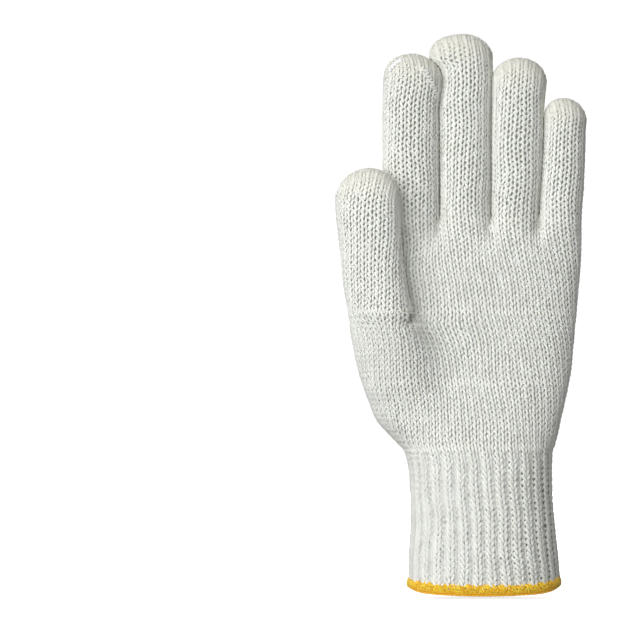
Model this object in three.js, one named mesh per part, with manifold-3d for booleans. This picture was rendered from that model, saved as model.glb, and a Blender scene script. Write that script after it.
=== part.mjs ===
// Seamless string-knit cotton glove, left hand, filled out and upright with its palm to the front.
// Millimetres, +Z from the wrist to the fingertips, -Y out of the palm, +X towards the little finger.
// The origin is the middle of the opening that the hand goes in through.

import * as THREE from "three";
import { mergeVertices } from "three/addons/utils/BufferGeometryUtils.js";
import Module from "manifold-3d";

const manifoldLibrary = await Module();
manifoldLibrary.setup();

// Driving dimensions
const WALL = 2.0;
const SEAM_GAP = 0.3;
const CUFF_TOP = 65;
const HEM_TOP = 5.4;
const FINGER_BASE = 164;
const THUMB_BASE = 124;
const RIB_COUNT = 30;
const RIB_HEIGHT = 0.8;
const HEM_SIDE_RISE = 1.5;
const HEM_RISE_REACH = 40;

// Points round each kind of section
const SIDES = { hand: 40, digit: 24, digitInside: 18, cuff: RIB_COUNT * 4, cuffInside: 44, hem: 48 };

// How square each section is: 2 is an ellipse, more is squarer
const SQUARENESS = { hand: 2.4, digit: 2.2, cuff: 2.4 };

// Each row is one flat section: height, centre, half the width, half the depth, and turn about +Z in degrees
const COLUMNS = ["z", "x", "y", "halfWidth", "halfDepth", "turn"];

const HAND_ROWS = table([
  [65.3, -2.4, 0.0, 33.2, 21.2, 0],
  [70.0, -3.9, 0.0, 36.1, 20.0, 0],
  [76.0, -5.2, 0.0, 38.7, 18.7, 0],
  [86.0, -4.7, 0.2, 40.5, 17.2, 0],
  [98.0, -3.5, 0.4, 41.6, 16.1, 0],
  [111.0, -2.6, 0.5, 42.0, 15.4, 0],
  [125.0, -1.6, 0.5, 42.3, 14.7, 0],
  [138.0, -0.9, 0.4, 42.7, 13.9, 0],
  [149.0, -0.5, 0.2, 43.1, 12.7, 0],
  [155.5, -0.3, 0.0, 43.0, 11.0, 0],
  [159.4, -0.3, 0.0, 42.4, 8.2, 0],
  [161.4, -0.3, 0.0, 40.8, 4.4, 0],
]);

const THUMB_ROOT_ROWS = table([
  [66.0, -17.0, -1.5, 10.0, 8.0, 0],
  [76.0, -28.0, -2.5, 15.2, 12.0, -2],
  [86.0, -33.5, -5.0, 16.2, 12.8, -6],
  [96.0, -37.1, -8.0, 16.4, 12.7, -10],
  [106.0, -40.0, -11.0, 16.1, 12.1, -15],
  [115.0, -42.4, -14.2, 15.5, 11.2, -20],
  [120.0, -43.8, -16.1, 14.9, 10.6, -23],
  [THUMB_BASE - SEAM_GAP, -44.8, -17.2, 14.4, 10.3, -25],
]);

// A digit's rows run from its base to where its rounded tip starts
const DIGITS = [
  {
    name: "index_finger",
    tip: { height: 10.8, x: -31.4, y: -2.6 },
    rows: table([
      [FINGER_BASE, -31.3, 0.0, 12.1, 10.6, 0],
      [180.0, -31.4, -0.4, 12.0, 10.4, 0],
      [200.0, -31.5, -1.2, 12.0, 10.2, 0],
      [215.0, -31.5, -1.9, 12.0, 10.0, 0],
      [222.5, -30.8, -2.2, 12.4, 9.8, 0],
      [225.5, -30.7, -2.4, 12.4, 9.6, 0],
    ]),
  },
  {
    name: "middle_finger",
    tip: { height: 9.6, x: -8.7, y: 0.2 },
    rows: table([
      [FINGER_BASE, -7.75, 0.0, 10.8, 10.8, 0],
      [180.0, -7.7, 0.3, 10.9, 10.6, 0],
      [200.0, -7.8, 0.6, 11.1, 10.5, 0],
      [215.0, -7.8, 0.7, 11.2, 10.4, 0],
      [224.0, -7.0, 0.7, 10.7, 10.3, 0],
      [231.0, -7.5, 0.6, 11.3, 10.1, 0],
      [235.4, -9.6, 0.5, 13.3, 9.6, 0],
    ]),
  },
  {
    name: "ring_finger",
    tip: { height: 10.4, x: 15.6, y: -1.4 },
    rows: table([
      [FINGER_BASE, 13.8, 0.0, 10.1, 10.4, 0],
      [180.0, 14.4, -0.1, 10.65, 10.3, 0],
      [200.0, 14.9, -0.5, 11.0, 10.1, 0],
      [215.0, 15.2, -0.9, 11.05, 9.9, 0],
      [224.2, 15.7, -1.2, 11.6, 9.5, 0],
    ]),
  },
  {
    name: "little_finger",
    tip: { height: 9.0, x: 34.9, y: -1.8 },
    rows: table([
      [FINGER_BASE, 33.65, 0.0, 9.0, 9.6, 0],
      [180.0, 34.7, -0.3, 9.0, 9.3, 0],
      [196.0, 35.5, -0.9, 8.8, 9.0, 0],
      [204.5, 35.7, -1.3, 8.8, 8.8, 0],
      [208.0, 35.9, -1.5, 9.0, 8.6, 0],
    ]),
  },
  {
    name: "thumb",
    tip: { height: 13.8, x: -49.6, y: -15.2 },
    rows: table([
      [THUMB_BASE, -44.8, -17.2, 14.4, 10.3, -25],
      [136.0, -47.2, -17.2, 13.9, 10.0, -24],
      [150.0, -48.8, -16.8, 13.6, 9.9, -21],
      [165.0, -50.0, -15.9, 14.0, 9.7, -18],
      [172.5, -50.3, -15.6, 14.2, 9.4, -17],
    ]),
  },
];

// A finger grows out of the hand: its root swells from a part of the finger's base section to all of it
const ROOT_STEPS = [
  { z: 144.0, share: 0.7 },
  { z: 154.0, share: 0.96 },
  { z: FINGER_BASE - SEAM_GAP, share: 1.0 },
];

const CUFF_ROWS = table([
  [HEM_TOP + SEAM_GAP, 0.4, 0.0, 32.4, 24.9, 0],
  [12.0, 0.2, 0.0, 32.2, 24.6, 0],
  [33.0, -0.3, 0.0, 30.8, 23.5, 0],
  [47.0, -0.9, 0.0, 30.5, 22.9, 0],
  [57.5, -1.4, 0.0, 30.9, 22.3, 0],
  [CUFF_TOP, -2.3, 0.0, 32.4, 21.0, 0],
]);

const HEM_ROWS = table([
  [0.0, 0.4, 0.0, 32.0, 24.5, 0],
  [0.9, 0.4, 0.0, 33.1, 25.6, 0],
  [2.7, 0.4, 0.0, 33.6, 26.1, 0],
  [4.5, 0.4, 0.0, 33.2, 25.7, 0],
  [HEM_TOP, 0.4, 0.0, 32.5, 25.0, 0],
]);
const HEM_WALL = 3.0;

// Soft hollows pressed into the front (side -1) or the back (side 1) of the hand, in full past this depth
const FACING_DEPTH = 12;
const HOLLOWS = [
  { part: "middle of the palm", side: -1, x: 2, z: 106, reachX: 24, reachZ: 24, depth: 1.9 },
  { part: "below the index web", side: -1, x: -19, z: 157, reachX: 5, reachZ: 8, depth: 1.2 },
  { part: "below the middle web", side: -1, x: 3.4, z: 157, reachX: 5, reachZ: 8, depth: 1.2 },
  { part: "below the ring web", side: -1, x: 24.3, z: 156, reachX: 5, reachZ: 8, depth: 1.2 },
  { part: "behind the index web", side: 1, x: -19, z: 157, reachX: 5, reachZ: 8, depth: 1.0 },
  { part: "behind the middle web", side: 1, x: 3.4, z: 157, reachX: 5, reachZ: 8, depth: 1.0 },
  { part: "behind the ring web", side: 1, x: 24.3, z: 156, reachX: 5, reachZ: 8, depth: 1.0 },
];

function table(rows) {
  return rows.map((row) => Object.fromEntries(COLUMNS.map((column, i) => [column, row[i]])));
}

// One point of a section, at an angle round it, pushed out by a swell
function sectionPoint(row, angle, squareness, swell = 0) {
  const across = Math.cos(angle);
  const deep = Math.sin(angle);
  const power = 2 / squareness;
  const width = (row.halfWidth + swell) * Math.sign(across) * Math.abs(across) ** power;
  const depth = (row.halfDepth + swell) * Math.sign(deep) * Math.abs(deep) ** power;
  const turn = THREE.MathUtils.degToRad(row.turn);
  return new THREE.Vector3(
    row.x + width * Math.cos(turn) - depth * Math.sin(turn),
    row.y + width * Math.sin(turn) + depth * Math.cos(turn),
    row.z,
  );
}

// A closed solid through a stack of sections, its ends closed by fans to a middle point or to an apex
function loft(rows, { sides, squareness, apex = null, swell = null, shape = null }) {
  const points = [];
  const faces = [];
  for (const row of rows) {
    for (let i = 0; i < sides; i += 1) {
      const angle = (2 * Math.PI * i) / sides;
      points.push(sectionPoint(row, angle, squareness, swell ? swell(i, row) : 0));
    }
  }
  const bottom = points.length;
  points.push(new THREE.Vector3(rows[0].x, rows[0].y, rows[0].z));
  const top = points.length;
  const last = rows[rows.length - 1];
  points.push(apex ? apex.clone() : new THREE.Vector3(last.x, last.y, last.z));

  for (let level = 0; level + 1 < rows.length; level += 1) {
    for (let i = 0; i < sides; i += 1) {
      const a = level * sides + i;
      const b = level * sides + ((i + 1) % sides);
      faces.push([a, b, b + sides], [a, b + sides, a + sides]);
    }
  }
  const lastRing = (rows.length - 1) * sides;
  for (let i = 0; i < sides; i += 1) {
    const next = (i + 1) % sides;
    faces.push([bottom, next, i], [top, lastRing + i, lastRing + next]);
  }
  if (shape) points.forEach(shape);
  const geometry = new THREE.BufferGeometry();
  geometry.setAttribute("position", new THREE.Float32BufferAttribute(points.flatMap((p) => p.toArray()), 3));
  geometry.setIndex(faces.flat());
  return solid(geometry);
}

function solid(geometry) {
  const merged = mergeVertices(geometry, 1e-4);
  return new manifoldLibrary.Manifold(new manifoldLibrary.Mesh({
    numProp: 3,
    vertProperties: new Float32Array(merged.attributes.position.array),
    triVerts: new Uint32Array(merged.index.array),
  }));
}

function meshOf(name, body, material) {
  const result = body.getMesh();
  const geometry = new THREE.BufferGeometry();
  geometry.setAttribute("position", new THREE.Float32BufferAttribute(result.vertProperties, 3));
  geometry.setIndex(Array.from(result.triVerts));
  geometry.computeVertexNormals();
  const mesh = new THREE.Mesh(geometry, material);
  mesh.name = name;
  return mesh;
}

// The same sections one wall further in, and lower by a wall so that a closed end keeps its thickness
function inside(rows) {
  return rows.map((row) => ({
    ...row,
    z: row.z - WALL,
    halfWidth: row.halfWidth - WALL,
    halfDepth: row.halfDepth - WALL,
  }));
}

// The rounded end of a digit: sections that shrink as a quarter of an ellipse
function tipRows(base, tip) {
  const steps = 4;
  const rows = [];
  for (let i = 1; i < steps; i += 1) {
    const angle = (Math.PI / 2) * (i / steps);
    const rise = Math.sin(angle);
    rows.push({
      ...base,
      z: base.z + tip.height * rise,
      x: THREE.MathUtils.lerp(base.x, tip.x, rise),
      y: THREE.MathUtils.lerp(base.y, tip.y, rise),
      halfWidth: base.halfWidth * Math.cos(angle),
      halfDepth: base.halfDepth * Math.cos(angle),
    });
  }
  return rows;
}

function digitSolid(rows, tip, sides) {
  const base = rows[rows.length - 1];
  return loft([...rows, ...tipRows(base, tip)], {
    sides,
    squareness: SQUARENESS.digit,
    apex: new THREE.Vector3(tip.x, tip.y, base.z + tip.height),
  });
}

// Rows carried on straight down below the first, so that a hollow opens through its end
function openedBelow(rows, reach) {
  return [{ ...rows[0], z: rows[0].z - reach }, ...rows];
}

function openedAbove(rows, reach) {
  const last = rows[rows.length - 1];
  return [...rows, { ...last, z: last.z + reach }];
}

function digit({ rows, tip }) {
  const outside = digitSolid(rows, tip, SIDES.digit);
  const hollow = digitSolid(openedBelow(inside(rows), WALL), tip, SIDES.digitInside);
  return outside.subtract(hollow);
}

function rootRows(digitRows) {
  const base = digitRows[0];
  return ROOT_STEPS.map(({ z, share }) => ({
    ...base,
    z,
    halfWidth: base.halfWidth * share,
    halfDepth: base.halfDepth * share,
  }));
}

function pressHollows(point) {
  for (const hollow of HOLLOWS) {
    const offX = (point.x - hollow.x) / hollow.reachX;
    const offZ = (point.z - hollow.z) / hollow.reachZ;
    const near = Math.exp(-(offX ** 2) - offZ ** 2);
    const facing = THREE.MathUtils.clamp((hollow.side * point.y) / FACING_DEPTH, 0, 1);
    point.y -= hollow.side * hollow.depth * near * facing;
  }
}

function palm() {
  const hand = { sides: SIDES.hand, squareness: SQUARENESS.hand, shape: pressHollows };
  const tube = { sides: SIDES.digit, squareness: SQUARENESS.digit };
  const hollowTube = { sides: SIDES.digitInside, squareness: SQUARENESS.digit };
  let outside = loft(HAND_ROWS, hand).add(loft(THUMB_ROOT_ROWS, tube));
  let hollow = loft(openedBelow(inside(HAND_ROWS), WALL), hand);
  hollow = hollow.add(loft(openedAbove(inside(THUMB_ROOT_ROWS), 2 * WALL), hollowTube));
  for (const finger of DIGITS.filter((each) => each.name !== "thumb")) {
    const rows = rootRows(finger.rows);
    outside = outside.add(loft(rows, tube));
    hollow = hollow.add(loft(openedAbove(inside(rows), 2 * WALL), hollowTube));
  }
  return outside.subtract(hollow);
}

// The edge of the wrist lifts a little at both sides
function liftSides(point) {
  const fade = Math.max(0, 1 - point.z / HEM_RISE_REACH);
  point.z += HEM_SIDE_RISE * (point.x / HEM_ROWS[0].halfWidth) ** 2 * fade;
}

// Raised ribs: two points of each rib's four stand out, and they fade into the hand at the top
function ribSwell(i, row) {
  const phase = (2 * Math.PI * i) / (SIDES.cuff / RIB_COUNT);
  const fade = THREE.MathUtils.smoothstep(CUFF_TOP - row.z, 0, 6);
  return RIB_HEIGHT * (0.25 + 0.75 * fade) * (0.5 + 0.5 * Math.cos(phase));
}

function cuff() {
  const outside = loft(CUFF_ROWS, {
    sides: SIDES.cuff,
    squareness: SQUARENESS.cuff,
    swell: ribSwell,
    shape: liftSides,
  });
  const rows = openedAbove(openedBelow(CUFF_ROWS, WALL), WALL).map((row) => ({
    ...row,
    halfWidth: row.halfWidth - WALL,
    halfDepth: row.halfDepth - WALL,
  }));
  return outside.subtract(loft(rows, { sides: SIDES.cuffInside, squareness: SQUARENESS.cuff, shape: liftSides }));
}

function hem() {
  const style = { sides: SIDES.hem, squareness: SQUARENESS.cuff, shape: liftSides };
  const middle = HEM_ROWS[2];
  const inner = { ...middle, halfWidth: middle.halfWidth - HEM_WALL, halfDepth: middle.halfDepth - HEM_WALL };
  const rows = [{ ...inner, z: -WALL }, { ...inner, z: HEM_TOP + WALL }];
  return loft(HEM_ROWS, style).subtract(loft(rows, style));
}

const bleachedCotton = new THREE.MeshStandardMaterial({ color: 0xe6e9df, roughness: 0.95, metalness: 0 });
const ribbedCotton = new THREE.MeshStandardMaterial({ color: 0xe3e6db, roughness: 0.95, metalness: 0 });
const yellowEdging = new THREE.MeshStandardMaterial({ color: 0xf0b030, roughness: 0.9, metalness: 0 });

const glove = new THREE.Group();
glove.add(meshOf("palm", palm(), bleachedCotton));
for (const each of DIGITS) {
  glove.add(meshOf(each.name, digit(each), bleachedCotton));
}
glove.add(meshOf("cuff", cuff(), ribbedCotton));
glove.add(meshOf("hem", hem(), yellowEdging));

export default glove;
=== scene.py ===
"""A seamless string-knit cotton glove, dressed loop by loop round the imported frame.

Every knitted piece is real yarn: each course is one closed tube that runs round the hand or a digit in
a row of loops, and the loops of one course pass through those of the next. The cuff's loops lie in ribs,
and two yellow overlock yarns are wound over its edge. Sizes are in millimetres until a mesh is made.
"""

import math

import bpy
import numpy as np
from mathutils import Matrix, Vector


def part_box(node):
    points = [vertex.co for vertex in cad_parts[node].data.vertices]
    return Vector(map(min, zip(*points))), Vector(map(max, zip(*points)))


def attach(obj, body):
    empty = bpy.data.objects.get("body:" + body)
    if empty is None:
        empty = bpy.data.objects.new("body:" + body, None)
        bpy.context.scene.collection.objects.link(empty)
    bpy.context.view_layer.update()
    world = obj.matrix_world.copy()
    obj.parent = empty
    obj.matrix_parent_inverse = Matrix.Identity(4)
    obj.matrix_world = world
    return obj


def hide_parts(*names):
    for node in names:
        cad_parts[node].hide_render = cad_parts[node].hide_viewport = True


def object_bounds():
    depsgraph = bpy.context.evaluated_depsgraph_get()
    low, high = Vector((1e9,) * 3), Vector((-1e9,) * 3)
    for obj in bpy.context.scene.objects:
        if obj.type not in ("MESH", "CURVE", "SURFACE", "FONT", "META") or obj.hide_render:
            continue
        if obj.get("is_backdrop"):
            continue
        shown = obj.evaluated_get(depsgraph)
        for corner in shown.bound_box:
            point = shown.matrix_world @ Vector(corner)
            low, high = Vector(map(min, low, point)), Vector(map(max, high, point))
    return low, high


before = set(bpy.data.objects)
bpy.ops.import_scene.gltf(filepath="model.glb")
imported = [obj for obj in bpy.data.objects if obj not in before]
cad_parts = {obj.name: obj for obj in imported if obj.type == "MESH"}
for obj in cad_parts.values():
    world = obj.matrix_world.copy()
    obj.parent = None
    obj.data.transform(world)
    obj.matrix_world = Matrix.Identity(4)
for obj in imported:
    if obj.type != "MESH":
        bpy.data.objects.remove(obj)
CAD_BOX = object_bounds()

MM = 0.001
TAU = 2 * math.pi
random = np.random.default_rng(7)

# Real sizes of the cloth, in millimetres
YARN_RADIUS = 0.57
LOOP_DEPTH = 0.28
NAP_DEPTH = 0.65
CLOTH_INSET = 0.55
WALE_PITCH = 3.0

# How far a course rises over the last one, and by what share less at the ridge of a digit's tip
COURSE = 2.46
HAND_COURSE = 2.35
CUFF_COURSE = 2.55
DENSER = 0.3

# One loop: its points, half its swing in wales, half its height in courses, and its lean in wales
LOOP_STEPS = 11
LOOP_SWING = 0.205
LOOP_RISE = 0.80
LEAN = 0.06

# Heights along the glove, from the frame's own nodes
CUFF_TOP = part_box("cuff")[1].z / MM
FINGER_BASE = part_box("index_finger")[0].z / MM
THUMB_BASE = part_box("thumb")[0].z / MM

# Courses of the hand, counted up from the cuff, and the one at which the thumb leaves it
HAND_COURSES = round((FINGER_BASE - CUFF_TOP) / HAND_COURSE)
COURSE_RISE = (FINGER_BASE - CUFF_TOP) / HAND_COURSES
SPLIT_COURSE = round((THUMB_BASE - CUFF_TOP) / COURSE_RISE)
SPLIT_HEIGHT = CUFF_TOP + SPLIT_COURSE * COURSE_RISE

# Where the cuff's first course starts, and how many courses it has
CUFF_BASE = 3.8
CUFF_COURSES = round((CUFF_TOP - CUFF_BASE) / CUFF_COURSE)

# The wrist's edge rises at both sides and more at its very ends, less and less up to this height
SIDE_RISE = 1.5
END_RISE = 2.4
RISE_REACH = 40.0

# How square a section is: 2 is an ellipse, more is squarer
HAND_SQUARE = 2.4
DIGIT_SQUARE = 2.2

# Steps in which a section's edge is measured, rays that find the edge round hand and thumb together,
# columns of the hand's grids for each wale, and columns of the fibre sheet
EDGE_STEPS = 1440
RAYS = 2048
COLUMNS = 8
NAP_COLUMNS = 128

# The sections of the cloth's outside, one a row: height, centre x, centre y, half width, half depth, turn
HAND = np.array([
    [62.0, -1.6, 0.0, 31.6, 21.8, 0],
    [65.3, -2.4, 0.0, 33.2, 21.2, 0],
    [70.0, -3.9, 0.0, 36.1, 20.0, 0],
    [76.0, -5.2, 0.0, 38.7, 18.7, 0],
    [86.0, -4.7, 0.2, 40.5, 17.2, 0],
    [98.0, -3.5, 0.4, 41.6, 16.1, 0],
    [111.0, -2.6, 0.5, 42.0, 15.4, 0],
    [125.0, -1.6, 0.5, 42.3, 14.7, 0],
    [138.0, -0.9, 0.4, 42.7, 13.9, 0],
    [149.0, -0.5, 0.2, 43.1, 12.7, 0],
    [157.0, -0.3, 0.0, 43.1, 11.6, 0],
    [166.0, -0.3, 0.0, 43.1, 10.9, 0],
])
CUFF = np.array([
    [0.0, 0.4, 0.0, 32.6, 25.1, 0],
    [5.7, 0.4, 0.0, 32.4, 24.9, 0],
    [12.0, 0.2, 0.0, 32.2, 24.6, 0],
    [33.0, -0.3, 0.0, 30.8, 23.5, 0],
    [47.0, -0.9, 0.0, 30.5, 22.9, 0],
    [57.5, -1.4, 0.0, 30.9, 22.3, 0],
    [65.0, -2.3, 0.0, 32.6, 21.3, 0],
    [70.0, -3.5, 0.0, 35.0, 20.2, 0],
])

# Each digit: its rows up to where the tip starts to round, the tip's rise and place, and its wales
DIGITS = {
    "index_finger": {
        "rows": np.array([
            [150.0, -31.3, 0.0, 12.1, 10.6, 0],
            [164.0, -31.3, 0.0, 12.1, 10.6, 0],
            [180.0, -31.4, -0.4, 12.0, 10.4, 0],
            [200.0, -31.5, -1.2, 12.0, 10.2, 0],
            [215.0, -31.5, -1.9, 12.0, 10.0, 0],
            [222.5, -30.8, -2.2, 12.4, 9.8, 0],
            [225.5, -30.7, -2.4, 12.4, 9.6, 0],
        ]),
        "tip": {"rise": 10.8, "x": -31.4, "y": -2.6},
        "wales": 20,
    },
    "middle_finger": {
        "rows": np.array([
            [150.0, -7.75, 0.0, 10.8, 10.8, 0],
            [164.0, -7.75, 0.0, 10.8, 10.8, 0],
            [180.0, -7.7, 0.3, 10.9, 10.6, 0],
            [200.0, -7.8, 0.6, 11.1, 10.5, 0],
            [215.0, -7.8, 0.7, 11.2, 10.4, 0],
            [224.0, -7.0, 0.7, 10.7, 10.3, 0],
            [231.0, -7.5, 0.6, 11.3, 10.1, 0],
            [235.4, -7.55, 0.5, 11.3, 9.6, 0],
        ]),
        "tip": {"rise": 9.6, "x": -8.7, "y": 0.2},
        "wales": 20,
        "flare": {"by": 4.0, "from": 229.5, "full": 235.0},
    },
    "ring_finger": {
        "rows": np.array([
            [150.0, 13.8, 0.0, 10.1, 10.4, 0],
            [164.0, 13.8, 0.0, 10.1, 10.4, 0],
            [180.0, 14.4, -0.1, 10.65, 10.3, 0],
            [200.0, 14.9, -0.5, 11.0, 10.1, 0],
            [215.0, 15.2, -0.9, 11.05, 9.9, 0],
            [224.2, 15.7, -1.2, 11.6, 9.5, 0],
        ]),
        "tip": {"rise": 10.4, "x": 15.6, "y": -1.4},
        "wales": 18,
    },
    "little_finger": {
        "rows": np.array([
            [150.0, 33.65, 0.0, 9.0, 9.6, 0],
            [164.0, 33.65, 0.0, 9.0, 9.6, 0],
            [180.0, 34.7, -0.3, 9.0, 9.3, 0],
            [196.0, 35.5, -0.9, 8.8, 9.0, 0],
            [204.5, 35.7, -1.3, 8.8, 8.8, 0],
            [208.0, 35.9, -1.5, 9.0, 8.6, 0],
        ]),
        "tip": {"rise": 9.0, "x": 34.9, "y": -1.8},
        "wales": 16,
    },
    "thumb": {
        "rows": np.array([
            [106.0, -40.0, -11.0, 16.1, 12.1, -15],
            [115.0, -42.4, -14.2, 15.5, 11.2, -20],
            [124.0, -44.8, -17.2, 14.4, 10.3, -25],
            [136.0, -47.2, -17.2, 13.9, 10.0, -24],
            [150.0, -48.8, -16.8, 13.6, 9.9, -21],
            [165.0, -50.0, -15.9, 14.0, 9.7, -18],
            [172.5, -50.3, -15.6, 14.2, 9.4, -17],
        ]),
        "tip": {"rise": 13.8, "x": -49.6, "y": -15.2},
        "wales": 22,
    },
}

# The thumb's root runs on into the thumb's own first sections
THUMB_ROOT = np.array([
    [66.0, -17.0, -1.5, 10.0, 8.0, 0],
    [76.0, -28.0, -2.5, 15.2, 12.0, -2],
    [86.0, -33.5, -5.0, 16.2, 12.8, -6],
    [96.0, -37.1, -8.0, 16.4, 12.7, -10],
    *DIGITS["thumb"]["rows"][:3],
])

# The fingers press against each other: each facing side stands out by this much
PRESS = 0.3
FINGERS = ["index_finger", "middle_finger", "ring_finger", "little_finger"]
for left, right in zip(FINGERS, FINGERS[1:]):
    for name, side in ((left, 1), (right, -1)):
        DIGITS[name]["rows"][:, 1] += side * PRESS / 2
        DIGITS[name]["rows"][:, 3] += PRESS / 2

# Wales round the hand above the thumb, below it and at the cuff. A wale's number counts from the little
# finger's side, across the palm to the thumb's side; behind the hand it counts backwards from that side.
HAND_WALES = 64
LOWER_WALES = 76
CUFF_WALES = 60

# Which wales of the hand run on into which finger:
# first wale, last wale, and the digit's number less the hand's
FINGER_JOIN = [
    ("little_finger", -7, 7, 0.0),
    ("ring_finger", 8, 14, -6.5),
    ("middle_finger", 15, 22, -13.5),
    ("index_finger", 23, 41, -22.0),
    ("middle_finger", 42, 49, -30.5),
    ("ring_finger", 50, 56, -39.5),
]

# Which wales of the lower hand run on into the hand or the thumb, in the same way
LOWER_JOIN = [("hand", 0, 27, 0.0), ("thumb", 28, 44, -27.5), ("hand", 45, 75, -12.0)]

# The edges that face each other where the thumb parts, from front to back: the thumb's wales and the hand's
THUMB_EDGE, HAND_EDGE = (22.5, 16.5), (27.0, 33.0)

# The wale of the lower hand at the thumb's outer edge, where wales run out lower down
OUTER_WALE = 39

# The wale places of the palm's middle and of the crotch beside the thumb, and where they stand down to the
# wrist. Fewer wales are left in front and behind as the hand narrows:
# height, middle x, crotch x, wales in front, wales behind
MIDDLE_WALE, CROTCH_WALE = 14.0, 27.5
GUIDES = np.array([
    [65.0, 0.4, -33.0, 31.0, 30.0],
    [70.0, 0.2, -35.4, 32.0, 30.6],
    [76.0, 0.2, -37.2, 33.2, 31.4],
    [88.0, 1.3, -37.9, 35.2, 33.2],
    [96.0, 2.3, -37.3, 36.5, 34.4],
    [104.0, 3.2, -36.2, 37.8, 35.4],
    [112.0, 4.0, -35.2, 38.8, 36.3],
    [120.0, 4.4, -34.4, 39.0, 37.0],
    [128.0, 4.4, -34.2, 39.0, 37.0],
])

# The knit spirals as it rises: by this many wales up to the thumb's crotch, and from there to the fingers
LOW_TWIST = 4
TWIST_START = 74.0
THUMB_TWIST = 1.5
HIGH_TWIST = 2

# The closed tips show a few sewn stitches. Each runs to and fro along a line over the front of its digit:
# piece, thread, first wale and course, last wale and course, turns, reach, radius, height over the cloth
STITCHES = [
    ("index_finger", "thread", (8.1, 28.2), (6.2, 29.6), 5, 1.6, 0.36, 0.9),
    ("thumb", "thread", (9.9, 23.4), (8.7, 26.2), 5, 0.8, 0.32, 0.85),
    ("index_finger", "yarn", (3.6, 27.2), (1.3, 21.4), 6, 1.2, 0.58, 0.7),
    ("middle_finger", "yarn", (3.4, 34.6), (0.6, 34.2), 5, 0.7, 0.42, 0.7),
]

# A crease runs on below each crotch between two fingers: x, how low it reaches
CREASES = [(-18.9, 161.5), (3.4, 162.5), (23.5, 157.5)]

# The web below the thumb's crotch, where the yarn is closed up: x and height
WEB = (-26.0, 116.0)

# The two overlock yarns: wraps, slant in wraps, radius, reach outwards, reach up the cuff
OVERLOCK = [(170, 0.8, 0.44, 1.40, 2.3), (150, -0.9, 0.38, 1.5, 2.0)]


def smooth(value, low, high):
    """Rises from 0 at low to 1 at high with no corner: 3t^2 - 2t^3."""
    t = np.clip((value - low) / (high - low), 0, 1)
    return t * t * (3 - 2 * t)


def rows_at(rows, height):
    """The section at a height: a cubic through the rows, with the slope of each from its neighbours."""
    z, values = rows[:, 0], rows[:, 1:]
    slope = np.gradient(values, z, axis=0)
    height = np.clip(height, z[0], z[-1])
    i = np.clip(np.searchsorted(z, height, side="right") - 1, 0, len(z) - 2)
    step = (z[i + 1] - z[i])[..., None]
    t = (height - z[i])[..., None] / step
    before, after = values[i], values[i + 1]
    return (
        (2 * t**3 - 3 * t**2 + 1) * before
        + (t**3 - 2 * t**2 + t) * step * slope[i]
        + (3 * t**2 - 2 * t**3) * after
        + (t**3 - t**2) * step * slope[i + 1]
    )


class Skin:
    """A surface kept as a grid of points, read between them by straight blending.

    Rows run up the cloth and columns go round it, once in so many wales. Row r is at first + r * step.
    """

    def __init__(self, points, first, step, wales):
        self.points, self.first, self.step, self.wales = points, first, step, wales

    def at(self, around, up):
        """The point at a wale number and a height or course number."""
        rows, columns = self.points.shape[:2]
        r = np.clip((up - self.first) / self.step, 0, rows - 1.001)
        c = np.mod(around / self.wales, 1.0) * columns
        r0, c0 = np.floor(r).astype(int), np.floor(c).astype(int)
        fr, fc = (r - r0)[..., None], (c - c0)[..., None]
        c0 = c0 % columns
        c1 = (c0 + 1) % columns
        low = self.points[r0, c0] * (1 - fc) + self.points[r0, c1] * fc
        high = self.points[r0 + 1, c0] * (1 - fc) + self.points[r0 + 1, c1] * fc
        return low * (1 - fr) + high * fr


def section_ring(section, square, inset, columns):
    """One section as points spaced evenly along its edge, from its +X end through the front (-Y) and back.

    The edge is a superellipse: |x/a|^n + |y/b|^n = 1, turned about its centre.
    """
    x, y, half_width, half_depth, turn = section
    angle = -np.linspace(0, TAU, EDGE_STEPS + 1)
    power = 2 / square
    across = (half_width - inset) * np.sign(np.cos(angle)) * np.abs(np.cos(angle)) ** power
    deep = (half_depth - inset) * np.sign(np.sin(angle)) * np.abs(np.sin(angle)) ** power
    length = np.concatenate([[0], np.cumsum(np.hypot(np.diff(across), np.diff(deep)))])
    wanted = np.arange(columns) / columns * length[-1]
    across, deep = np.interp(wanted, length, across), np.interp(wanted, length, deep)
    c, s = math.cos(math.radians(turn)), math.sin(math.radians(turn))
    return np.stack([x + across * c - deep * s, y + across * s + deep * c], -1), across, deep


def tube_skin(rows, square, low, high, wales, inset=CLOTH_INSET, step=0.5, columns=512):
    """The side of a tube between two heights, its sections stacked."""
    heights = np.arange(low, high + step, step)
    grid = np.zeros((len(heights), columns, 3))
    for i, section in enumerate(rows_at(rows, heights)):
        grid[i, :, :2] = section_ring(section, square, inset, columns)[0]
        grid[i, :, 2] = heights[i]
    return Skin(grid, low, step, wales)


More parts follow.
